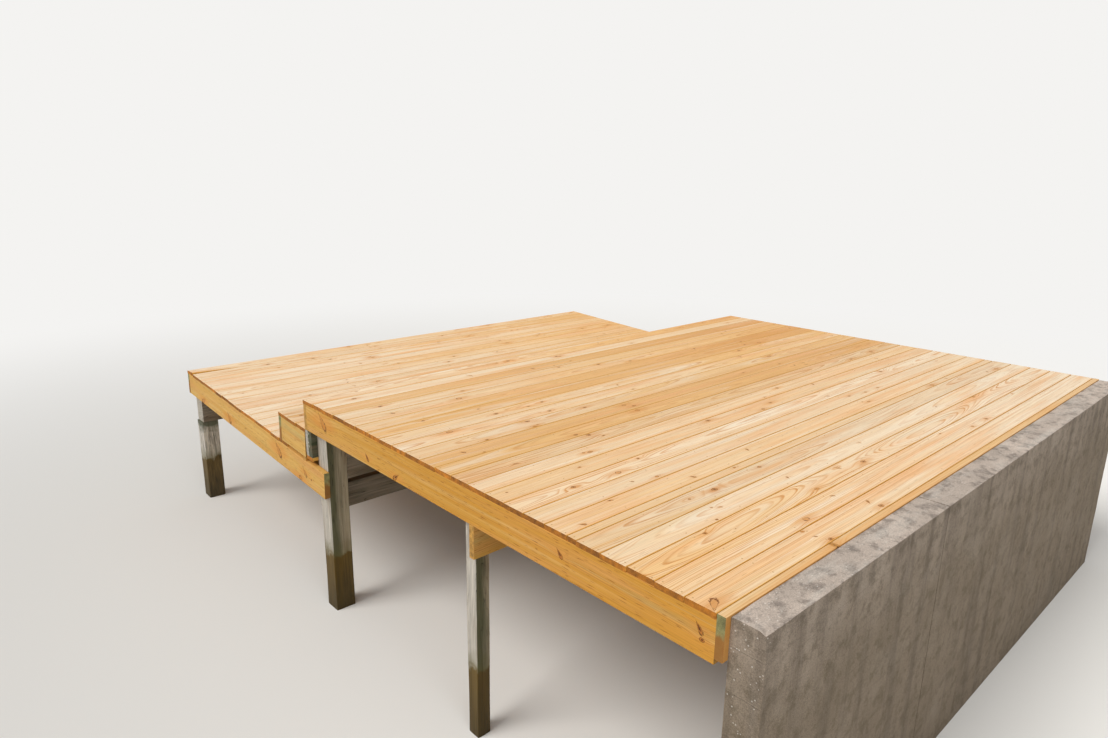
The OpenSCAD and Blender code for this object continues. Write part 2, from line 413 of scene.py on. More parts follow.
def mottled(add, colour, pattern, low, high, dark, light):
    """Darken and lighten a colour as a pattern goes from low to high."""
    part = add("MapRange", (pattern, low, high, dark, light))
    return add("VectorMath MULTIPLY", (colour, part))


def gap_to(add, value, level):
    """How far a value lies from a level."""
    return add("Math ABSOLUTE", (add("Math SUBTRACT", (value, level)),))


def from_pith(add, at):
    """Distance from the middle of the log."""
    cross = add("VectorMath MULTIPLY", (at, (0, 1, 1)))
    return add("VectorMath LENGTH", (cross,)).outputs["Value"]


def surface(add, colour, rough, height, relief, depth, gloss=0.5):
    """Give a material its surface, with relief of a depth in metres."""
    bump = add("Bump", {"Height": height, "Strength": relief, "Distance": depth})
    shader = add("BsdfPrincipled", {"Base Color": colour, "Roughness": rough,
                                    "Specular IOR Level": gloss, "Normal": bump})
    add("OutputMaterial", {"Surface": shader})


def knot_group():
    """One knot: how far the grain bends round it, and its own colour masks."""
    name = "knot"
    if name in bpy.data.node_groups:
        return bpy.data.node_groups[name]
    tree = bpy.data.node_groups.new(name, "ShaderNodeTree")
    add = partial(add_node, tree)
    for socket, kind in (("Spot", "Vector"), ("Knot", "Vector"), ("Turn", "Float"),
                         ("Uneven", "Float"), ("Share", "Float")):
        tree.interface.new_socket(socket, in_out="INPUT", socket_type="NodeSocket" + kind)
    for socket in ("Bend", "Inside", "Border", "Core"):
        tree.interface.new_socket(socket, in_out="OUTPUT", socket_type="NodeSocketFloat")
    source = tree.nodes.new("NodeGroupInput")
    sink = tree.nodes.new("NodeGroupOutput")
    spot, knot, turn, uneven, share = (source.outputs[i] for i in range(5))
    away = add("VectorMath SUBTRACT", (spot, knot))
    flat = add("VectorMath MULTIPLY", (away, (1, 1, 0)))
    turned = add("VectorRotate Z_AXIS", {"Vector": flat, "Angle": turn})
    size = add("Math MAXIMUM", (add("SeparateXYZ", (knot,)).outputs[2], 0.0005))
    # A turned knot is a spike knot, cut along its length: a teardrop, round at one end
    spike = add("MapRange", (add("Math ABSOLUTE", (turn,)), 0, 0.5))
    stretch = add("Math MULTIPLY_ADD", (spike, 1.75, 1.35))
    long_size = add("Math MULTIPLY", (size, stretch))
    along = add("Math DIVIDE", (add("SeparateXYZ", (turned,)), long_size))
    wide = add("MapRange", (along, -1, 0.6, -0.85, 0.35))
    widen = add("Math MULTIPLY_ADD", (wide, spike, 1))
    width = add("Math MULTIPLY", (size, widen))
    ratio = add("VectorMath DIVIDE", (turned, add("CombineXYZ", (long_size, width, 1))))
    far = add("VectorMath LENGTH", (ratio,)).outputs["Value"]
    d = add("Math ADD", (far, uneven))
    # The grain starts to part well before the knot, along the stick
    drawn = add("VectorMath MULTIPLY", (flat, (0.28, 1, 1)))
    reach = add("VectorMath LENGTH", (drawn,)).outputs["Value"]
    reach = add("Math DIVIDE", (reach, size))
    near = add("MapRange SMOOTHSTEP", (reach, 0, 3.6, 1, 0))
    bend = add("Math MULTIPLY", (near, size))
    inside = add("MapRange SMOOTHSTEP", (d, 0.75, 1.15, 1, 0))
    # A large knot is nearly as pale as the wood, inside its dark border
    solid = add("MapRange", (size, 0.008, 0.014, 1, 0.5))
    inside = add("Math MULTIPLY", (inside, solid))
    border = add("MapRange SMOOTHSTEP", (gap_to(add, d, 1), 0.02, 0.24, 1, 0))
    # Bark and resin have left some of the smaller knots with a dark core
    chance = add("TexWhiteNoise 3D", {"Vector": knot})
    lucky = add("Math LESS_THAN", (chance, share))
    small = add("Math LESS_THAN", (size, 0.0125))
    cored = add("Math MULTIPLY", (lucky, small))
    core = add("MapRange SMOOTHSTEP", (d, 0.25, 0.70, 1, 0))
    core = add("Math MULTIPLY", (core, cored))
    for i, node in enumerate((bend, inside, border, core)):
        tree.links.new(node.outputs[0], sink.inputs[i])
    return tree


def all_knots(add, spot, cored_share):
    """The knots' bends added up, and the strongest of each colour mask."""
    rough = add("TexNoise", {"Vector": spot, "Scale": 95.0, "Detail": 2.0})
    uneven = add("Math MULTIPLY_ADD", (rough, 0.8, -0.4))
    total = {}
    for key in KNOTS:
        mark = add("Attribute", attribute_name=key).outputs
        group = add("Group", {"Spot": spot, "Knot": mark["Vector"], "Turn": mark["Alpha"],
                              "Uneven": uneven, "Share": cored_share},
                    node_tree=knot_group())
        for out in ("Bend", "Inside", "Border", "Core"):
            value = group.outputs[out]
            if out in total:
                how = "Math ADD" if out == "Bend" else "Math MAXIMUM"
                value = add(how, (total[out], value)).outputs[0]
            total[out] = value
    return total


def pine(name, early, warm, flush, chalk, late, edge, ring_w, wander_by=0.030,
         strength=1.0, green=0.12, strokes=0.4, relief=0.35, cored_share=0.6,
         edge_part=0.9, heart="#ca8432", bark="#7c4610", stroke_from=0.75, side=None):
    """Pressure-treated pine, planed: pale earlywood, orange latewood and knots.

    The rings are cut from the log that each stick lay in, so flat-sawn faces show
    cathedrals and rift-sawn ones fine lines.
    """
    material, add = blank(name)
    log, spot, tone, rim = (add("Attribute", attribute_name=key).outputs["Vector"]
                            for key in VECTORS)
    brightness, warm_tone, strong = add("SeparateXYZ", (tone,)).outputs
    rounding, lean, _ = add("SeparateXYZ", (rim,)).outputs

    # Slow wander of the rings, a hand's breadth across and about a metre along
    wander = drawn_out(add, log, (1.1, 6, 6), 2)
    centred = add("VectorMath SUBTRACT", (wander.outputs["Color"], (0.5, 0.5, 0.5)))
    moved = add("VectorMath MULTIPLY_ADD", (centred, (0, wander_by, wander_by), log))
    knots = all_knots(add, spot, cored_share)
    bent = add("Math MULTIPLY_ADD", (knots["Bend"], 1.3, from_pith(add, moved)))

    # Rings: a soft rise to the dense latewood, then a sharp edge, each ring its own width
    phase = add("Math DIVIDE", (bent, ring_w))
    slower = add("Math MULTIPLY", (phase, 0.37))
    widths = add("TexNoise 1D", {"W": slower, "Scale": 1.0, "Detail": 1.0})
    count = add("Math MULTIPLY_ADD", (widths, 3, phase))
    part = add("Math FRACT", (count,))
    own = add("Math MULTIPLY_ADD", (warm_tone, 97, add("Math FLOOR", (count,))))
    ring_random = add("TexWhiteNoise 1D", {"W": own})
    rise = add("MapRange SMOOTHSTEP", (part, 0.38, 0.86))
    fall = add("MapRange SMOOTHSTEP", (part, 0.88, 1, 1, 0))
    band = add("Math MULTIPLY", (rise, fall))
    weight = add("MapRange", (ring_random, 0, 1, 0.25 * strength, 1.25 * strength))
    dense = add("Math MULTIPLY", (band, weight))
    # The lines come and go along the board
    fade = add("MapRange", (drawn_out(add, spot, (2.2, 30, 30), 2), 0.3, 0.65, 0.3, 1))
    fading = add("Math MULTIPLY", (dense, fade))
    grainy = add("Math MULTIPLY", (fading, strong))

    # Bands a few rings wide, chalky, honey or flushed, that follow the grain
    along = add("Math MULTIPLY", (add("SeparateXYZ", (log,)), 0.55))
    across = add("Math MULTIPLY", (count, 0.30))
    bands_at = add("CombineXYZ", (along, across, warm_tone))
    bands = add("TexNoise", {"Vector": bands_at, "Scale": 1.0, "Detail": 2.0})
    honey_band, chalk_band, _ = add("SeparateColor", (bands.outputs["Color"],)).outputs
    tint = drawn_out(add, log, (0.9, 12, 12), 3)
    _, flush_tint, green_tint = add("SeparateColor", (tint.outputs["Color"],)).outputs

    warmth = add("Math ADD", (honey_band, add("Math ADD", (lean, warm_tone))))
    colour = stained(add, early, warmth, 0.35, 1.25, 1, warm)
    # Resin-rich heartwood is a deeper orange still
    colour = stained(add, colour, warmth, 1.25, 2.2, 0.8, "#e29e50")
    colour = stained(add, colour, chalk_band, 0.54, 0.74, 0.55, chalk)
    colour = stained(add, colour, flush_tint, 0.48, 0.72, 0.8, flush)
    # Traces of the green preservative
    colour = stained(add, colour, green_tint, 0.56, 0.76, green, "#a8ae7c")
    if side:
        # Painted shade: the upright faces are painted a deeper colour than the top
        faces = add("SeparateXYZ", (add("TexCoord").outputs["Normal"],))
        lying = add("Math ABSOLUTE", (faces.outputs[2],))
        colour = stained(add, colour, lying, 0.8, 0.3, 0.8, side)
    colour = add("MixRGB", (grainy, colour, late))
    # Fibre streaks, drawn 3 mm wide so that they show at this distance
    fibre = drawn_out(add, spot, (4, 330, 330), 3, 0.6)
    colour = mottled(add, colour, fibre, 0.35, 0.68, 0.88, 1.07)
    # Short dark strokes of resin
    stroke = drawn_out(add, spot, (15, 190, 190), 0)
    colour = stained(add, colour, stroke, stroke_from, stroke_from + 0.07, strokes, "#9e6020")

    # Resin has flushed the wood round a knot, most of all along the grain
    colour = stained(add, colour, knots["Bend"], 0.001, 0.012, 0.55, "#d98f3c")
    colour = stained(add, colour, knots["Inside"], 0, 1, 0.85, heart)
    # The border is dark only part of the way round
    broken = add("TexNoise", {"Vector": spot, "Scale": 60.0, "Detail": 0.0})
    broken = add("MapRange", (broken, 0.35, 0.6, 0.4, 1))
    colour = stained(add, colour, knots["Border"], 0, 1, 1, bark, broken)
    colour = add("MixRGB", (knots["Core"], colour, "#5a300c"))
    # Painted light: the sides and rounded edges take the edge colour, a saturated orange standing in for
    # the light bounced between the boards
    colour = stained(add, colour, rounding, 0, 1, edge_part, edge)
    colour = add("VectorMath MULTIPLY", (colour, brightness))

    height = add("Math MULTIPLY_ADD", (grainy, 0.6, fibre))
    rough = add("MapRange", (grainy, 0, 1, 0.70, 0.52))
    surface(add, colour, rough, height, relief, 0.0006, 0.35)
    return material


def sawn_ends(name, early, late, spread, ring_w, soiled=False):
    """Sawn pine ends: open fibres drink stain, so they are darker, with arcs of rings.

    Each end has its own depth of stain, within the spread of brightness.
    """
    material, add = blank(name)
    log, tone = (add("Attribute", attribute_name=key).outputs["Vector"]
                 for key in ("log", "tone"))
    wobble = add("TexNoise", {"Vector": log, "Scale": 60.0, "Detail": 2.0})
    bent = add("Math MULTIPLY_ADD", (wobble, 0.004, from_pith(add, log)))
    part = add("Math FRACT", (add("Math DIVIDE", (bent, ring_w)),))
    band = add("MapRange SMOOTHSTEP", (part, 0.35, 0.9))
    colour = add("MixRGB", (band, early, late))
    patch = add("TexNoise", {"Vector": log, "Scale": 34.0, "Detail": 3.0})
    colour = mottled(add, colour, patch, 0.3, 0.7, 0.6, 1.3)
    chance = add("TexWhiteNoise 3D", {"Vector": tone})
    colour = mottled(add, colour, chance, 0, 1, *spread)
    if soiled:
        # Wet soil has browned the lower part of a green end
        spot = add("Attribute", attribute_name="spot").outputs["Vector"]
        up = add("SeparateXYZ", (spot,))
        ragged = add("Math MULTIPLY_ADD", (patch, 0.08, up.outputs[1]))
        colour = stained(add, colour, ragged, 0.17, 0.13, 0.85, "#9c6320")
    surface(add, colour, 0.82, wobble, 0.5, 0.0008)
    return material


def weathered(name, sun, shade, wet, wet_top, moss, lichen=0.0, outer_only=False,
              damp_top=None, flecks=(1.8, 120.0), contrast=(0.58, 1.28), front_moss=0.0):
    """Old sawn timber: greyed by sun, checked along the grain, brown where it stays wet, its faces
    toward the key lamp painted a lit colour and the rest a painted shade colour.
    """
    material, add = blank(name)
    log, spot = (add("Attribute", attribute_name=key).outputs["Vector"]
                 for key in ("log", "spot"))
    coordinates = add("TexCoord").outputs
    place = coordinates["Object"]
    height = add("SeparateXYZ", (place,)).outputs[2]
    facing_x, facing_y, _ = add("SeparateXYZ", (coordinates["Normal"],)).outputs
    _, across, through = add("SeparateXYZ", (spot,)).outputs
    # Painted light and shade: faces toward the key lamp at −X take the lit colour, the others the darker
    # shade colour, which on the mossy beam is also green with moss
    sunny = add("MapRange", (facing_x, -0.75, -0.25, 1, 0))
    if outer_only:
        # On the beam's end only the outer strip takes the painted lit colour; the rest keeps the painted
        # shade colour, green with moss
        sunny = add("Math MULTIPLY", (sunny, add("MapRange", (through, 0.048, 0.056))))
    colour = add("MixRGB", (sunny, shade, sun))
    streak = drawn_out(add, log, (flecks[0], flecks[1], flecks[1]), 4, 0.65)
    streak_part = add("MapRange", (streak, 0.3, 0.7, *contrast))
    colour = add("VectorMath MULTIPLY", (colour, streak_part))
    patch = drawn_out(add, log, (2.6, 18, 18), 3)
    brown_at, moss_at, check_at = add("SeparateColor", (patch.outputs["Color"],)).outputs
    colour = stained(add, colour, brown_at, 0.5, 0.72, 0.5, "#7b6448")
    in_shade = add("MapRange", (sunny, 0, 1, 1, 0.25))
    colour = stained(add, colour, moss_at, 0.48, 0.66, moss, "#3d452c", in_shade)
    if front_moss:
        # Moss has spread from the left arris over the shaded front
        spread = add("Math MULTIPLY_ADD", (moss_at, 0.10, across))
        front = add("MapRange", (facing_y, -0.8, -0.4, 1, 0))
        colour = stained(add, colour, spread, 0.125, 0.085, front_moss, "#454a2a", front)
    # Checks: long dark splits that follow the grain
    check = drawn_out(add, log, (2.6, 55, 55), 1)
    check_part = add("MapRange", (gap_to(add, check, 0.5), 0.003, 0.016, 0.7, 0))
    check_mask = add("Math MULTIPLY", (check_part, add("MapRange", (check_at, 0.44, 0.58))))
    colour = add("MixRGB", (check_mask, colour, "#211a12"))
    # The stain that the water leaves, with an uneven upper edge and slime above it
    ragged = add("TexNoise", {"Vector": spot, "Scale": 12.0, "Detail": 4.0})
    level = add("Math MULTIPLY_ADD", (ragged, 0.22, height))
    colour = stained(add, colour, level, wet_top + 0.22, wet_top + 0.11, 0.55, "#6a6438")
    if damp_top:
        # Painted shade: the post's top, in the shelter of the beam, is painted a dark olive
        drip = add("Math MULTIPLY_ADD", (ragged, -0.16, height))
        colour = stained(add, colour, drip, damp_top - 0.17, damp_top - 0.13, 0.85, "#454a30")
    wet_part = add("MapRange", (level, wet_top + 0.09, wet_top + 0.12, 0.9, 0))
    foot = add("MapRange", (height, 0, wet_top, 0.5, 1.15))
    wet_streaks = add("Math MULTIPLY", (streak_part, foot))
    wet_colour = add("VectorMath MULTIPLY", (wet, wet_streaks))
    colour = add("MixRGB", (wet_part, colour, wet_colour))
    if lichen:
        dots = add("TexVoronoi", {"Vector": place, "Scale": 48.0})
        scatter = add("TexNoise", {"Vector": place, "Scale": 11.0, "Detail": 2.0})
        scatter = add("MapRange", (scatter, 0.50, 0.60))
        colour = stained(add, colour, dots, 0.36, 0.12, lichen, "#c4ccb8", scatter)
    relief = add("Math MULTIPLY_ADD", (check_mask, -2.2, streak))
    rough = add("MapRange", (wet_part, 0, 1, 0.9, 0.6))
    surface(add, colour, rough, relief, 0.7, 0.002, 0.3)
    return material


def old_concrete(name, colour):
    """Old cast concrete: cement skin worn off the sand and grit, stained by soil and rain."""
    material, add = blank(name)
    coordinates = add("TexCoord").outputs
    place = coordinates["Object"]
    up = add("SeparateXYZ", (place,)).outputs[2]
    facing_up = add("SeparateXYZ", (coordinates["Normal"],)).outputs[2]
    upright = add("MapRange", (facing_up, 0.2, 0.8, 1, 0))
    cloud = add("TexNoise", {"Vector": place, "Scale": 2.6, "Detail": 6.0, "Roughness": 0.62})
    colour = mottled(add, colour, cloud, 0.3, 0.7, 0.76, 1.24)
    spots = add("TexNoise", {"Vector": place, "Scale": 12.0, "Detail": 5.0, "Roughness": 0.72})
    dark_at, soil_at, _ = add("SeparateColor", (spots.outputs["Color"],)).outputs
    colour = stained(add, colour, dark_at, 0.48, 0.62, 0.62, "#6b625b")
    # Soil has browned the sides of the wall, more so lower down
    soil_height = add("Math MULTIPLY_ADD", (soil_at, 0.35, up))
    soil = add("MapRange", (soil_height, 1.25, 1.80, 0.75, 0.45))
    colour = add("MixRGB", (add("Math MULTIPLY", (soil, upright)), colour, "#6f6048"))
    # Rain has drawn dark runs down the sides and washed the top pale in places
    run = drawn_out(add, place, (9, 9, 0.9), 5, 0.6)
    colour = stained(add, colour, run, 0.48, 0.68, 0.5, "#5c5044", upright)
    pale = drawn_out(add, place, (3, 14, 3), 4, 0.6)
    on_top = add("MapRange", (upright, 0, 1, 1, 0.12))
    colour = stained(add, colour, pale, 0.50, 0.66, 0.5, "#d8cec2", on_top)
    # Sand and grit, drawn 6 mm wide so that it shows at this distance
    grit = add("TexNoise", {"Vector": place, "Scale": 160.0, "Detail": 3.0, "Roughness": 0.75})
    grit_part = add("MapRange", (grit, 0.3, 0.7, 0.70, 1.26))
    colour = add("VectorMath MULTIPLY", (colour, grit_part))
    stones = add("TexVoronoi", {"Vector": place, "Scale": 90.0})
    stone_tone = add("SeparateColor", (stones.outputs["Color"],)).outputs[1]
    chosen = add("Math GREATER_THAN", (stone_tone, 0.90))
    colour = stained(add, colour, stones, 0.34, 0.18, 0.6, "#ebe4da", chosen)
    pits = add("TexNoise", {"Vector": place, "Scale": 110.0, "Detail": 2.0})
    pit_part = add("MapRange", (pits, 0.66, 0.76, 0, 0.5))
    colour = add("MixRGB", (pit_part, colour, "#5a4c40"))
    # Faint lines where the boards of the form met, 184 mm apart
    lift = add("Math FRACT", (add("Math DIVIDE", (up, 0.184)),))
    form_line = add("MapRange", (gap_to(add, lift, 0.5), 0, 0.022, 1, 0))
    low = add("Math MULTIPLY_ADD", (pit_part, -1, grit_part))
    deep = add("Math MULTIPLY_ADD", (cloud, 3, low))
    formed = add("Math MULTIPLY_ADD", (form_line, 1.2, deep))
    surface(add, colour, 0.92, formed, 0.6, 0.003, 0.25)
    return material


def coated_steel(name):
    """Deck screws: steel under a dull tan coating, scuffed bright by the driver."""
    material, add = blank(name)
    place = add("TexCoord").outputs["Object"]
    scuff = add("TexNoise", {"Vector": place, "Scale": 400.0, "Detail": 2.0})
    mixed = add("MixRGB", (scuff, "#a97c42", "#cfa266"))
    shader = add("BsdfPrincipled", {"Base Color": mixed, "Roughness": 0.45})
    add("OutputMaterial", {"Surface": shader})
    return material


def pale_floor(name, colour):
    """Plain pale floor that fades to the same white as the world behind it."""
    material, add = blank(name)
    place = add("TexCoord").outputs["Object"]
    far = add("VectorMath LENGTH", (place,)).outputs["Value"]
    fade = add("MapRange SMOOTHSTEP", (far, 4.5, 13))
    matte = add("BsdfDiffuse", {"Color": colour, "Roughness": 1.0})
    glow = add("Emission", {"Color": "#f4f3f1", "Strength": 1.0})
    seen = add("LightPath").outputs["Is Camera Ray"]
    mix = add("MixShader", (add("Math MULTIPLY", (fade, seen)), matte, glow))
    add("OutputMaterial", {"Surface": mix})
    return material


def finish_of(name):
    """The jetty's materials, each made once."""
    if name in bpy.data.materials:
        return bpy.data.materials[name]
    c = bpy.context.scene.jetty_colours
    ring = bpy.context.scene.jetty_sizes.ring_w
    # The edge colour is painted bounced light, the orange that light takes inside the joints
    edge = "#e0a63e"
    makers = {
        "planed treated pine": lambda n: pine(
            n, c.cream, c.honey, "#f4ba80", "#fdeed6", c.latewood, edge, ring),
        # The rim's side colour is painted shade on its upright faces
        "planed treated rim": lambda n: pine(
            n, c.cream, c.honey, "#f0b070", "#fbe2b8", c.latewood, edge, ring,
            cored_share=0.9, edge_part=0.15, side="#cc8c34"),
        "rough treated pine": lambda n: pine(
            n, c.fascia, "#d29634", "#dca05a", "#e9c680", c.fascia_dark, "#c98a38",
            ring * 0.85, wander_by=0.016, strength=0.85, green=0.45, strokes=0.9, relief=0.5,
            cored_share=0.95, edge_part=0.12, heart="#b46a24", bark="#54290a",
            stroke_from=0.70),
        "sawn board ends": lambda n: sawn_ends(
            n, "#dc8c26", c.cut_end, (0.42, 1.05), ring * 0.5),
        "sawn treated ends": lambda n: sawn_ends(
            n, "#a9a36c", "#7f7a48", (0.62, 1.0), ring * 0.5, soiled=True),
        "sawn golden ends": lambda n: sawn_ends(
            n, "#d3a253", "#a8742c", (0.75, 1.1), ring * 0.5),
        "weathered post timber": lambda n: weathered(
            n, c.old_grey, "#b0a48a", c.old_brown, 0.42, moss=0.25, front_moss=0.8),
        "weathered water post timber": lambda n: weathered(
            n, "#d9d2c6", "#d6cdbc", c.old_brown, 0.385, moss=0.15,
            damp_top=kit()[1].water_foot, flecks=(7.0, 75.0), contrast=(0.34, 1.3)),
        "weathered beam timber": lambda n: weathered(
            n, "#bdb5a7", "#8f8473", "#5f5038", -1.0, moss=0.25),
        "mossy beam timber": lambda n: weathered(
            n, "#c0b8aa", "#5f604c", "#5f5038", -1.0, moss=0.8, lichen=0.9, outer_only=True),
        "old cast concrete": lambda n: old_concrete(n, c.concrete),
        "coated steel": coated_steel,
        "pale floor": lambda n: pale_floor(n, c.floor),
    }
    return makers[name](name)


# Pieces


def random_knots(rng, length, width):
    """Round knots, and slanted spike knots that run in from an edge."""
    knots = []
    for _ in range(rng.choice((3, 4, 5, 6, 6))):
        s = rng.uniform(0.1, length - 0.1)
        if rng.random() < 0.35:
            turn = rng.choice((-1, 1)) * rng.uniform(0.7, 1.2)
            knots.append((s, rng.uniform(0.02, width - 0.02), rng.uniform(0.004, 0.007), turn))
        else:
            knots.append((s, rng.uniform(0.02, width - 0.02), rng.uniform(0.006, 0.014)))
    return knots


def chosen_or(value, rng, low, high):
    """A chosen value, or else a random one between low and high."""
    return rng.uniform(low, high) if value is None else value


def laid_board(pile, s, place, y, width, rng, look, lift=None):
    """Lay one deck board with its landward edge at y and its top at 0."""
    bow = rng.uniform(-0.0007, 0.0007)
    cup = rng.uniform(-0.0002, 0.0008)
    ends = (rng.uniform(-0.003, 0.003), rng.uniform(-0.003, 0.003))

    def wear(p, length, wide, thick):
        f = p.x / length
        p.x += ends[0] * (1 - f) + ends[1] * f
        p.y += bow * math.sin(math.pi * f)
        side = (2 * p.y / wide - 1)
        p.z -= cup * (1 - side * side) * 0.5
        return lift(p, wide) if lift else p

    pile.stick("XYZ", (0, y, -s.board_t), (s.deck_l, y + width, 0), place,
               grown(rng, look.get("cut", rng.choice(("flat", "flat", "rift", "side")))),
               radius=s.board_edge_r, turns=4, wear=wear,
               tone=(chosen_or(look.get("value"), rng, 0.93, 1.04),
                     chosen_or(look.get("warm"), rng, 0.0, 0.75),
                     chosen_or(look.get("grain"), rng, 0.45, 1.0)),
               lean=look.get("lean", 0.5),
               knots=look.get("knots", []) + random_knots(rng, s.deck_l, width))


def lay_boards(node, rng, looks, lift=None):
    """Lay the boards that stand for a node, each with the next of the looks."""
    s, p = kit()
    pile = Pile()
    for (place, y, width), look in zip(p.boards[node], looks):
        laid_board(pile, s, place, y, width, rng, look, lift)
    pile.make(node, "_laid", [finish_of("planed treated pine"), finish_of("sawn board ends")])


class JETTY_OT_upper_boards(bpy.types.Operator):
    """Lay the boards of the upper deck"""
    bl_idname = "jetty.upper_boards"
    bl_label = "Upper deck boards"

    def execute(self, context):
        rng = random.Random(4)
        # Looks of the boards, counted from the land: the cut, the tone and the knots
        known = (
            {"cut": "side", "grain": 1.0, "warm": 0.45, "value": 1.02, "lean": -0.8,
             "knots": [(0.038, 0.037, 0.014, -0.64), (0.80, 0.128, 0.007),
                       (0.83, 0.012, 0.011), (0.80, 0.070, 0.004, 0.9)]},
            {"cut": "rift", "warm": 0.45, "grain": 0.85, "value": 1.03, "lean": -0.8,
             "knots": [(0.925, 0.038, 0.013), (1.25, 0.088, 0.005, 0.5), (2.6, 0.110, 0.006)]},
            {"cut": "flat", "warm": 0.6, "grain": 1.1, "value": 1.02, "lean": -1.1,
             "knots": [(0.60, 0.048, 0.003), (3.6, 0.13, 0.009)]},
            {"warm": 0.25, "grain": 0.5, "value": 1.01,
             "knots": [(0.617, 0.014, 0.006), (0.735, 0.082, 0.005, 0.6),
                       (0.70, 0.105, 0.004, 0.2)]},
            {"cut": "flat", "warm": 0.40, "grain": 0.9},
            {},
            {"warm": 0.45, "knots": [(0.395, 0.122, 0.006, 0.4), (2.87, 0.098, 0.005)]},
            {"warm": 0.25, "value": 0.99, "lean": -0.2,
             "knots": [(0.79, 0.024, 0.008), (0.642, 0.064, 0.004, 0.8), (3.3, 0.05, 0.009)]},
            {"cut": "flat", "warm": 0.2,
             "knots": [(0.676, 0.043, 0.013), (0.375, 0.061, 0.010), (2.81, 0.04, 0.006, 0.7)]},
            {"warm": 0.5,
             "knots": [(0.574, 0.083, 0.007), (0.086, 0.081, 0.005), (2.2, 0.02, 0.010)]},
            {"warm": 0.15, "value": 1.02, "lean": 0.2,
             "knots": [(0.776, 0.061, 0.011), (0.74, 0.075, 0.007)]},
            {"warm": 0.45, "lean": 0.0,
             "knots": [(1.026, 0.058, 0.007), (0.35, 0.05, 0.006, 0.3)]},
            {"warm": 0.8, "value": 0.95, "lean": 0.4},
            {"warm": 0.8, "value": 0.95, "knots": [(0.334, 0.010, 0.006), (2.9, 0.07, 0.008)]},
            {"warm": 0.3, "knots": [(0.462, 0.012, 0.009), (0.825, 0.012, 0.010)]},
            {"cut": "flat", "warm": 0.15, "value": 1.01,
             "knots": [(0.377, 0.119, 0.014), (1.10, 0.04, 0.010)]},
            {"warm": 0.3, "knots": [(0.798, 0.070, 0.011), (1.055, 0.059, 0.006, 0.4)]},
            {"warm": 0.85, "value": 0.97, "lean": 0.6},
            {"warm": 0.5, "value": 0.97, "lean": 1.3},
            {"warm": 0.15, "value": 1.0, "lean": 0.9},
            {"warm": 0.2, "value": 0.99, "lean": 0.8},
            {"warm": 0.5, "value": 0.97, "lean": 1.2},
            {"warm": -0.05, "value": 1.02, "lean": 0.5},
            {"warm": 0.0, "lean": 1.3},
        )
        # The boards near the land are painted paler toward their right end, a painted sheen of the sky
        # at the grazing view there; the others warm toward it
        looks = iter([{"lean": -0.4 if i < 10 else 0.5, **look}
                      for i, look in enumerate(known)])
        for node in ("upper_boards_land", "ripped_board", "upper_boards_middle",
                     "upper_boards_water"):
            lay_boards(node, rng, looks)
        return {"FINISHED"}


class JETTY_OT_lower_boards(bpy.types.Operator):
    """Lay the boards of the step and the lower deck"""
    bl_idname = "jetty.lower_boards"
    bl_label = "Step and lower deck boards"

    def execute(self, context):
        s, p = kit()
        rng = random.Random(11)
        lay_boards("step_tread", rng, [{}] * 3)
        for node in ("lower_boards_land", "lower_boards_water"):
            lay_boards(node, rng, ({"value": rng.uniform(1.01, 1.06),
                                    "warm": rng.uniform(-0.35, 0.1), "lean": 0.9}
                                   for _ in p.boards[node]))

        full = math.asin(s.twist_lift / s.board_w)

        def lift(q, wide):
            """Twist the left end about its outer lower edge."""
            angle = full * max(0.0, 1 - q.x / s.twist_l)
            y, z = wide - q.y, q.z
            q.y = wide - (y * math.cos(angle) - z * math.sin(angle))
            q.z = y * math.sin(angle) + z * math.cos(angle)
            return q

        lay_boards("lower_edge_board", rng, [{"value": 1.04, "warm": 0.1}], lift)
        return {"FINISHED"}


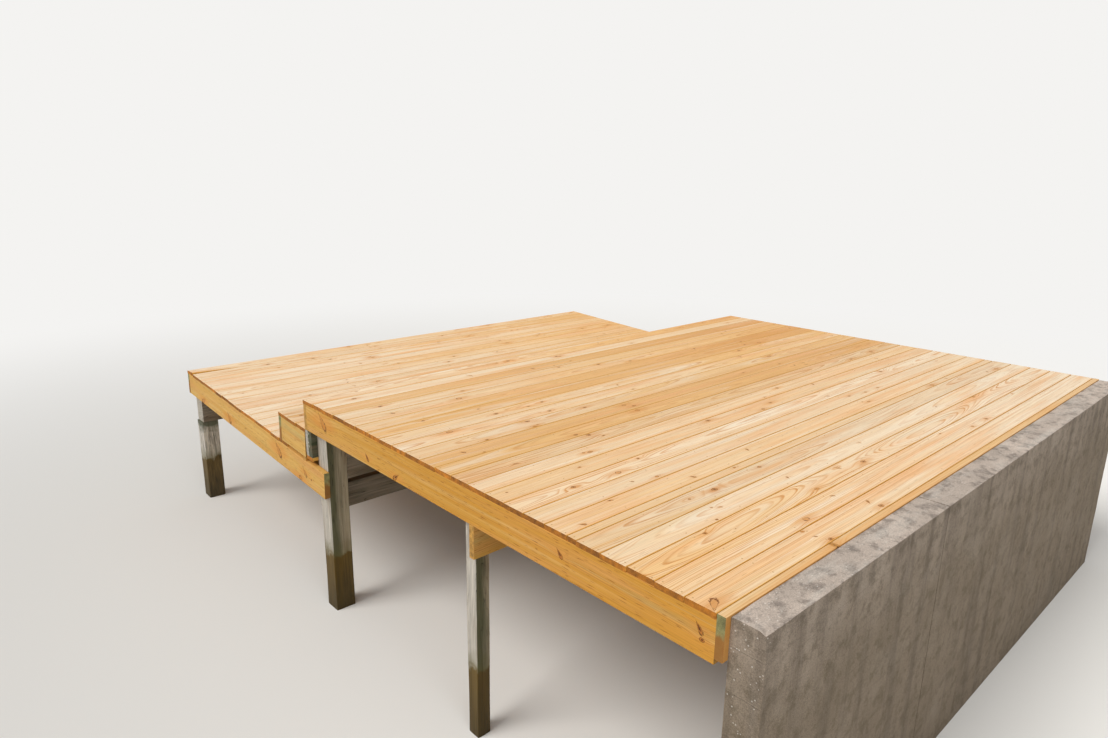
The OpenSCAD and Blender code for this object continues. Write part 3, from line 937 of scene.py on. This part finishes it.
class JETTY_OT_framing(bpy.types.Operator):
    """Put up the rims, fascias and joists of new pine"""
    bl_idname = "jetty.framing"
    bl_label = "New framing"

    def execute(self, context):
        s, p = kit()
        rng = random.Random(23)
        rough = finish_of("rough treated pine")
        green_ends = ("upper_land_rim", "step_riser", "lower_water_rim", "lower_left_fascia",
                      "lower_right_fascia")
        t, h, bt = s.frame_t, s.frame_h, s.board_t
        far = s.deck_l - t
        front = p.step_front
        deck, lower = p.deck, p.lower

        def put(name, axes, boxes, place, cut="flat", knots=(), warm=None, finish=rough,
                clear=False, lean=0.0):
            pile = Pile()
            for lo, hi in boxes:
                size = max(b - a for a, b in zip(lo, hi))
                pile.stick(axes, lo, hi, place, grown(rng, cut), turns=2,
                           tone=(rng.uniform(0.94, 1.04), chosen_or(warm, rng, 0.1, 0.7),
                                 rng.uniform(0.6, 1.0)),
                           lean=lean, knots=[] if clear else [*knots, *random_knots(rng, size, h)])
            ends = "sawn treated ends" if name in green_ends else "sawn golden ends"
            pile.make(name, "_timber", [finish, finish_of(ends)])

        def long(y, top, x0=0.0, x1=s.deck_l, height=h):
            return [((x0, y, top - height), (x1, y + t, top))]

        def cross(places, y0, y1, top=-bt):
            return [((x, y0, top - h), (x + t, y1, top)) for x in places]

        end = p.depth - t
        put("upper_land_rim", "XZY", long(0, 0), deck, "rift", [(0.79, 0.180, 0.010)],
            warm=0.5, finish=finish_of("planed treated rim"))
        put("upper_water_rim", "XZY", long(end, -bt), deck)
        put("upper_left_fascia", "YZX", cross([0], t, end), deck, "rift",
            [(0.071, 0.116, 0.009, 2.17), (0.056, 0.074, 0.008), (0.815, 0.108, 0.009, 2.3),
             (2.17, 0.030, 0.012, 0.6), (2.50, 0.052, 0.009, 2.2), (3.074, 0.119, 0.021, 2.31)],
            warm=0.95, lean=-0.5)
        put("upper_right_fascia", "YZX", cross([far], t, end), deck)
        put("upper_joists_left", "YZX", cross(p.joists[:6], t, end), deck)
        put("upper_joists_right", "YZX", cross(p.joists[6:], t, end), deck)
        put("mid_beam", "XZY", long(MID_POST_Y - t, -p.storey), deck)
        put("step_riser", "XZY", long(front - t, h), lower)
        put("step_back_rail", "XZY", long(p.step_y, h, t, far), lower)
        put("step_packer", "XZY", long(p.step_y, 0.0, height=bt), lower)
        put("step_left_side", "YZX", cross([0], p.step_y, front - t, h), lower, warm=0.3,
            clear=True)
        put("step_right_side", "YZX", cross([far], p.step_y, front - t, h), lower)
        put("step_blocks", "YZX", cross(p.joists, p.step_y + t, front - t, h), lower)
        end = s.lower_fascia_l - t
        put("lower_header", "XZY", long(p.header_y, -bt, t, far), lower)
        put("lower_water_rim", "XZY", long(end, -bt), lower)
        put("lower_left_fascia", "YZX", cross([0], 0, end), lower, "rift",
            [(0.735, 0.108, 0.021, 2.33), (0.375, 0.018, 0.016), (0.300, 0.088, 0.013, 2.36),
             (0.199, 0.067, 0.006), (1.72, 0.055, 0.017, 2.2), (2.33, 0.032, 0.016, 0.5)],
            warm=0.25)
        put("lower_right_fascia", "YZX", cross([far], 0, end), lower)
        put("lower_joists", "YZX", cross(p.joists, p.header_y + t, end), lower)
        return {"FINISHED"}


def worn(seed):
    """Wear a timber's faces unevenly."""
    def wear(q, length, wide, thick):
        at = Vector((q.x * 2.2, q.y * 16, q.z * 16)) + Vector((seed, 0, 0))
        push = WORN_BY * (noise.noise(at) - 0.35)
        cy, cz = q.y - wide / 2, q.z - thick / 2
        q.y += push * (2 * cy / wide)
        q.z += push * (2 * cz / thick)
        return q
    return wear


class JETTY_OT_old_timber(bpy.types.Operator):
    """Stand up the old posts, beams and rails"""
    bl_idname = "jetty.old_timber"
    bl_label = "Old posts and beams"

    def execute(self, context):
        s, p = kit()
        rng = random.Random(31)
        posts, water_posts, beams, mossy = ([finish_of(name)] * 2 for name in (
            "weathered post timber", "weathered water post timber", "weathered beam timber",
            "mossy beam timber"))
        new = [finish_of("planed treated pine"), finish_of("sawn board ends")]
        far, foot, beam_top = s.deck_l, -s.upper_h, -p.storey
        beam_foot = beam_top - s.frame_h
        w, mw, t, h = s.post_w, s.mid_post_w, s.frame_t, s.frame_h

        def put(name, axes, boxes, materials, slot="old_timber", wear=None, split=(5, 5)):
            pile = Pile()
            for lo, hi in boxes:
                pile.stick(axes, lo, hi, p.deck, grown(rng), radius=0.006, step=0.06,
                           split=split, wear=wear or worn(rng.uniform(0, 50)))
            pile.make(name, "_old", materials)

        def post_x(i, wide, inset):
            return inset + i * (far - 2 * inset - wide) / 2

        for i, side in enumerate(("left", "middle", "right")):
            x = post_x(i, mw, t)
            put("mid_post_" + side, "ZXY",
                [((x, MID_POST_Y, foot), (x + mw, MID_POST_Y + mw, beam_top))], posts)
            x = post_x(i, w, t)
            put("bank_post_" + side, "ZXY",
                [((x, p.bank_y, foot), (x + w, p.beam_y, beam_top))], posts)
        put("bank_beam", "XZY", [((0, p.beam_y, beam_foot), (far, p.depth, beam_top))], mossy)
        # The cleats are new boards, so nothing has worn them
        put("beam_cleats", "XYZ",
            [((post_x(i, w, 0), p.beam_y, beam_foot - s.board_t),
              (post_x(i, w, 0) + w, p.depth, beam_foot)) for i in range(3)],
            new, "deck_pine", lambda q, *sizes: q)
        put("bank_rails", "XZY",
            [((post_x(i, w, t) + w, p.bank_y, RAIL_Z[0]),
              (post_x(i + 1, w, t), p.bank_y + t, RAIL_Z[1])) for i in range(2)], beams)

        def beam(name, y, height, x0):
            """Put up a beam whose top is planed to the slope that it carries."""
            top = p.lower_z - p.storey + (y - p.lower_y) * p.slope
            rise = p.storey - p.storey / math.cos(s.rise)

            def planed(q, length, wide, thick):
                q = worn(7.0)(q, length, wide, thick)
                q.y += (rise + p.slope * q.z) * (q.y / wide)
                return q
            put(name, "XZY", [((x0, y, top - height), (far - x0, y + w, top))], beams,
                wear=planed, split=(6, 4))

        beam("lower_land_beam", p.beam_y, h, t + w - LAND_BEAM_LAP)
        beam("lower_water_beam", p.water_y, s.water_beam_h, WATER_BEAM_WORN)
        for i, side in enumerate(("left", "middle", "right")):
            x = post_x(i, w, WATER_POST_SIDE)
            put("water_post_" + side, "ZXY",
                [((x, p.water_y, foot), (x + w, p.water_y + w, p.water_foot + foot))],
                water_posts)
        return {"FINISHED"}


class JETTY_OT_sill(bpy.types.Operator):
    """Cast the old concrete sill"""
    bl_idname = "jetty.sill"
    bl_label = "Concrete sill"

    def execute(self, context):
        s, p = kit()

        def chipped(x0):
            """Knock chips off the upper arrises and leave the faces slightly uneven."""
            def wear(q, length, high, thick):
                at = Vector((q.x + x0, q.y, q.z))
                landward = q.z < thick / 2
                top, front = high - q.y, min(q.z, thick - q.z)
                coarse = noise.noise(Vector((at.x * 3.1, q.z * 4, 3.0)))
                fine = noise.noise(Vector((at.x * 24, q.z * 9, 8.0)))
                bite = max(0.0, coarse - 0.30) * 0.05 + max(0.0, fine - 0.1) * 0.006
                bite *= 1.0 if landward else 0.12
                # The near corner has lost the most
                if x0 == SILL_START and q.x < CORNER_L and landward:
                    bite += 0.010 * (1 - q.x / CORNER_L)
                fall = max(0.0, 1 - math.hypot(top, front) / CHIP_REACH)
                q.y -= bite * fall
                q.z += (bite if landward else -bite) * fall
                swell = noise.fractal(at * 5, 1.0, 2.0, 3)
                if top < 0.001:
                    q.y -= 0.0012 * (1 + swell)
                elif q.z < 0.001:
                    q.z += 0.0018 * (1 + swell)
                return q
            return wear

        for node, x0, x1 in (("sill_left", SILL_START, SILL_JOINT[0]),
                             ("sill_right", SILL_JOINT[1], s.deck_l)):
            pile = Pile()
            pile.stick("XZY", (x0, -SILL_T, -s.upper_h), (x1, 0, -SILL_DROP), p.deck,
                       grown(random.Random(5)), radius=0.005, turns=2, step=0.02,
                       split=(16, 10), wear=chipped(x0))
            pile.make(node, "_cast", [finish_of("old cast concrete")] * 2)
        return {"FINISHED"}


class JETTY_OT_screws(bpy.types.Operator):
    """Drive the deck screws through the boards at each joist"""
    bl_idname = "jetty.screws"
    bl_label = "Deck screws"

    def execute(self, context):
        s, p = kit()
        rng = random.Random(47)
        lines = [x + s.frame_t / 2 for x in (0, *p.joists, s.deck_l - s.frame_t)]
        # A full board takes two at each joist, the ripped one takes one, the twisted one none
        boards = [board for node, laid in p.boards.items() if node != "lower_edge_board"
                  for board in laid]
        verts, faces = [], []
        sides, proud = 10, 0.00025
        profile = ((SCREW_HEAD_R, -0.0006), (SCREW_HEAD_R * 0.92, proud),
                   (SCREW_DRIVE_R, proud), (SCREW_DRIVE_R * 0.8, -0.0018))
        for place, y, width in boards:
            offsets = (SCREW_IN, width - SCREW_IN) if width > s.narrow_w else (width / 2,)
            for x in lines:
                for off in offsets:
                    cx = x + rng.uniform(-0.006, 0.006)
                    cy = y + off + rng.uniform(-0.004, 0.004)
                    turn = rng.uniform(0, 1.57)
                    base = len(verts)
                    for r, z in profile:
                        for i in range(sides):
                            a = turn + 2 * math.pi * i / sides
                            verts.append(place @ Vector((cx + r * math.cos(a),
                                                         cy + r * math.sin(a), z)))
                    for k in range(3):
                        for i in range(sides):
                            a, b = base + k * sides + i, base + k * sides + (i + 1) % sides
                            faces.append((a, b, b + sides, a + sides))
                    faces.append(tuple(base + 3 * sides + i for i in range(sides)))
        piece_of("deck_screws", verts, faces, [finish_of("coated steel")])
        return {"FINISHED"}


class JETTY_OT_stage(bpy.types.Operator):
    """Set the floor, the lamps and the camera"""
    bl_idname = "jetty.stage"
    bl_label = "Stage"

    def execute(self, context):
        scene = context.scene
        mesh = bpy.data.meshes.new("floor")
        reach = 90.0
        mesh.from_pydata([(-reach, -reach, 0), (reach, -reach, 0), (reach, reach, 0),
                          (-reach, reach, 0)], [], [(0, 1, 2, 3)])
        mesh.materials.append(finish_of("pale floor"))
        floor = bpy.data.objects.new("floor", mesh)
        scene.collection.objects.link(floor)

        def lamp(name, kind, energy, place, aim, colour=(1, 1, 1)):
            light = bpy.data.lights.new(name, kind)
            light.energy, light.color = energy, colour
            holder = bpy.data.objects.new(name, light)
            holder.location = place
            toward = Vector(aim) - Vector(place)
            holder.rotation_euler = toward.to_track_quat("-Z", "Y").to_euler()
            scene.collection.objects.link(holder)
            return light

        key = lamp("key_lamp", "SUN", 1.75, (-7.0, 1.5, 8.0), (0, 0, 0), (1.0, 0.985, 0.96))
        key.angle = math.radians(32)
        fill = lamp("fill_lamp", "AREA", 110, (-4.0, -9.0, 5.5), (0, 0, 0.8))
        fill.shape, fill.size = "DISK", 7.0

        world = bpy.data.worlds.new("pale studio")
        world.use_nodes = True
        world.node_tree.nodes.clear()
        add = partial(add_node, world.node_tree)
        path = add("LightPath").outputs
        seen = add("Math MAXIMUM", (path["Is Camera Ray"], path["Is Glossy Ray"]))
        clear = add("Math MAXIMUM", (seen, path["Is Transmission Ray"]))
        back = add("Background", ("#f4f3f1", 1.0))
        soft = add("Background", ((0.97, 0.985, 1.0), 0.52))
        add("OutputWorld", {"Surface": add("MixShader", (clear, soft, back))})
        scene.world = world
        scene.view_settings.view_transform = "Standard"

        # The photo's own view
        lens = bpy.data.cameras.new("photo_view")
        lens.sensor_fit = "HORIZONTAL"
        lens.sensor_width = 36.0
        lens.lens = PHOTO_FOCAL * lens.sensor_width / PHOTO_W
        lens.clip_end = 400.0
        camera = bpy.data.objects.new("photo_view", lens)
        camera.location = PHOTO_PLACE
        heading, pitch, roll = (math.radians(turn) for turn in PHOTO_TURN)
        look = (Matrix.Rotation(-heading, 4, "Z") @ Matrix.Rotation(math.pi / 2 - pitch, 4, "X")
                @ Matrix.Rotation(roll, 4, "Z"))
        camera.rotation_euler = look.to_euler()
        scene.collection.objects.link(camera)
        scene.camera = camera
        return {"FINISHED"}


STEPS = (JETTY_OT_stage, JETTY_OT_upper_boards, JETTY_OT_lower_boards, JETTY_OT_framing,
         JETTY_OT_old_timber, JETTY_OT_sill, JETTY_OT_screws)


class JETTY_PT_panel(bpy.types.Panel):
    """Buttons that build the jetty, piece by piece"""
    bl_idname = "JETTY_PT_panel"
    bl_label = "Stepped timber jetty"
    bl_space_type = "VIEW_3D"
    bl_region_type = "UI"
    bl_category = "Jetty"

    def draw(self, context):
        for step in STEPS:
            self.layout.operator(step.bl_idname)
        for group in (context.scene.jetty_sizes, context.scene.jetty_colours):
            for key in group.__annotations__:
                self.layout.prop(group, key)


CLASSES = (JettySizes, JettyColours, *STEPS, JETTY_PT_panel)


def register():
    for cls in CLASSES:
        bpy.utils.register_class(cls)
    bpy.types.Scene.jetty_sizes = bpy.props.PointerProperty(type=JettySizes)
    bpy.types.Scene.jetty_colours = bpy.props.PointerProperty(type=JettyColours)


def unregister():
    del bpy.types.Scene.jetty_colours
    del bpy.types.Scene.jetty_sizes
    for cls in reversed(CLASSES):
        bpy.utils.unregister_class(cls)


def main():
    register()
    bpy.ops.jetty.stage()
    bpy.ops.jetty.upper_boards()
    bpy.ops.jetty.lower_boards()
    bpy.ops.jetty.framing()
    bpy.ops.jetty.old_timber()
    bpy.ops.jetty.sill()
    bpy.ops.jetty.screws()


if __name__ == "__main__":
    main()
